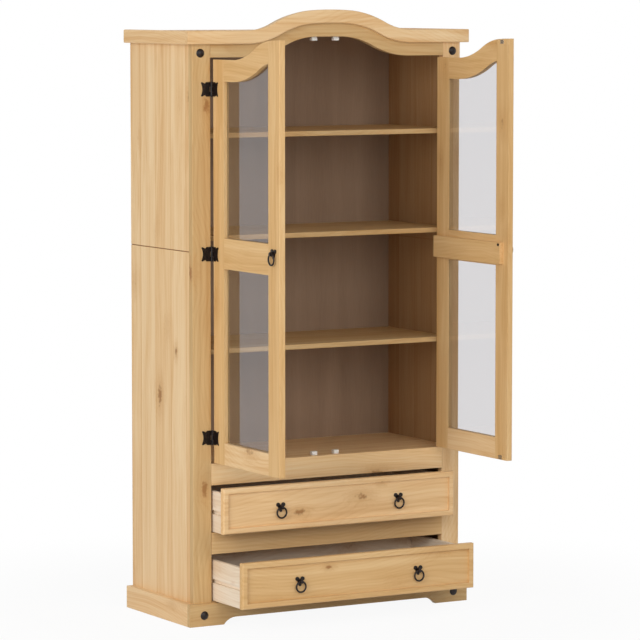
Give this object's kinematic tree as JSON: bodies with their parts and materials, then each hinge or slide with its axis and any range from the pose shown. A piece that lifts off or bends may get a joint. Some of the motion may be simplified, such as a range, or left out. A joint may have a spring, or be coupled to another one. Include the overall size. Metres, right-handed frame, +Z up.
{
  "type": "display cabinet",
  "caption": "Tall pine display cabinet with an arched cornice, glazed doors standing open on butterfly hinges, shelves, and panelled drawers with black ring pulls.",
  "frame": {"origin": "on the floor under the middle of the rear plinth rail", "axes": "+Z up, -Y out of the front, +X to the right of someone facing the cabinet's front"},
  "size_m": [0.958, 0.79, 1.7993],
  "materials": {
    "waxed_pine": "satin wax",
    "raw_pine": "unfinished, sanded",
    "back_board": "matt stained board",
    "clear_glass": "polished",
    "black_iron": "semi-gloss black",
    "zinc_steel": "zinc plated",
    "white_plastic": "moulded"
  },
  "bodies": {
    "cabinet": {"left_side_panels": "waxed_pine", "right_side_panels": "waxed_pine", "left_post": "waxed_pine", "right_post": "waxed_pine", "arched_frieze": "waxed_pine", "arched_cornice": "waxed_pine", "cornice_returns": "waxed_pine", "top_board": "waxed_pine", "door_rail": "waxed_pine", "drawer_rails": "waxed_pine", "cabinet_floor": "waxed_pine", "plinth_front": "waxed_pine", "plinth_sides": "waxed_pine", "rear_plinth_rail": "waxed_pine", "top_shelf": "waxed_pine", "middle_shelf": "waxed_pine", "bottom_shelf": "waxed_pine", "back_panel": "back_board", "drawer_runners": "raw_pine", "shelf_pegs": "zinc_steel", "corner_studs": "black_iron", "post_hinge_leaves": "black_iron", "hinge_pins": "black_iron", "door_catches": "white_plastic"},
    "left_door": {"left_door_hinge_stile": "waxed_pine", "left_door_meeting_stile": "waxed_pine", "left_door_top_rail": "waxed_pine", "left_door_middle_rail": "waxed_pine", "left_door_bottom_rail": "waxed_pine", "left_door_batten": "waxed_pine", "left_door_glass": "clear_glass", "left_door_hinge_leaves": "black_iron", "left_door_pull_plate": "black_iron", "left_door_strikes": "zinc_steel"},
    "left_door_ring": {"left_door_pull_ring": "black_iron"},
    "right_door": {"right_door_hinge_stile": "waxed_pine", "right_door_meeting_stile": "waxed_pine", "right_door_top_rail": "waxed_pine", "right_door_middle_rail": "waxed_pine", "right_door_bottom_rail": "waxed_pine", "right_door_batten": "waxed_pine", "right_door_glass": "clear_glass", "right_door_hinge_leaves": "black_iron", "right_door_pull_plate": "black_iron", "right_door_strikes": "zinc_steel"},
    "right_door_ring": {"right_door_pull_ring": "black_iron"},
    "upper_drawer": {"upper_drawer_front": "waxed_pine", "upper_drawer_sides": "raw_pine", "upper_drawer_back": "raw_pine", "upper_drawer_bottom": "back_board", "upper_drawer_pull_plates": "black_iron"},
    "upper_left_ring": {"upper_drawer_left_ring": "black_iron"},
    "upper_right_ring": {"upper_drawer_right_ring": "black_iron"},
    "lower_drawer": {"lower_drawer_front": "waxed_pine", "lower_drawer_sides": "raw_pine", "lower_drawer_back": "raw_pine", "lower_drawer_bottom": "back_board", "lower_drawer_pull_plates": "black_iron"},
    "lower_left_ring": {"lower_drawer_left_ring": "black_iron"},
    "lower_right_ring": {"lower_drawer_right_ring": "black_iron"}
  },
  "joints": [
    {"name": "left_door_swing", "type": "hinge", "parent": "cabinet", "child": "left_door", "pos_m": [-0.3955, -0.385, 1.0915], "axis": [0, 0, -1], "range_deg": [-90, 80]},
    {"name": "right_door_swing", "type": "hinge", "parent": "cabinet", "child": "right_door", "pos_m": [0.3955, -0.385, 1.0915], "axis": [0, 0, 1], "range_deg": [-90, 80]},
    {"name": "upper_drawer_slide", "type": "slide", "parent": "cabinet", "child": "upper_drawer", "axis": [0, -1, 0], "range_m": [-0.072, 0.178]},
    {"name": "lower_drawer_slide", "type": "slide", "parent": "cabinet", "child": "lower_drawer", "axis": [0, -1, 0], "range_m": [-0.186, 0.064]},
    {"name": "left_door_ring_swing", "type": "hinge", "parent": "left_door", "child": "left_door_ring", "pos_m": [-0.4005, -0.746, 1.114], "axis": [0, 1, 0], "range_deg": [-8, 100]},
    {"name": "right_door_ring_swing", "type": "hinge", "parent": "right_door", "child": "right_door_ring", "pos_m": [0.4005, -0.746, 1.114], "axis": [0, -1, 0], "range_deg": [-8, 100]},
    {"name": "upper_left_ring_swing", "type": "hinge", "parent": "upper_drawer", "child": "upper_left_ring", "pos_m": [-0.202, -0.455, 0.3425], "axis": [-1, 0, 0], "range_deg": [-8, 100]},
    {"name": "upper_right_ring_swing", "type": "hinge", "parent": "upper_drawer", "child": "upper_right_ring", "pos_m": [0.202, -0.455, 0.3425], "axis": [-1, 0, 0], "range_deg": [-8, 100]},
    {"name": "lower_left_ring_swing", "type": "hinge", "parent": "lower_drawer", "child": "lower_left_ring", "pos_m": [-0.202, -0.569, 0.1385], "axis": [-1, 0, 0], "range_deg": [-8, 100]},
    {"name": "lower_right_ring_swing", "type": "hinge", "parent": "lower_drawer", "child": "lower_right_ring", "pos_m": [0.202, -0.569, 0.1385], "axis": [-1, 0, 0], "range_deg": [-8, 100]}
  ]
}
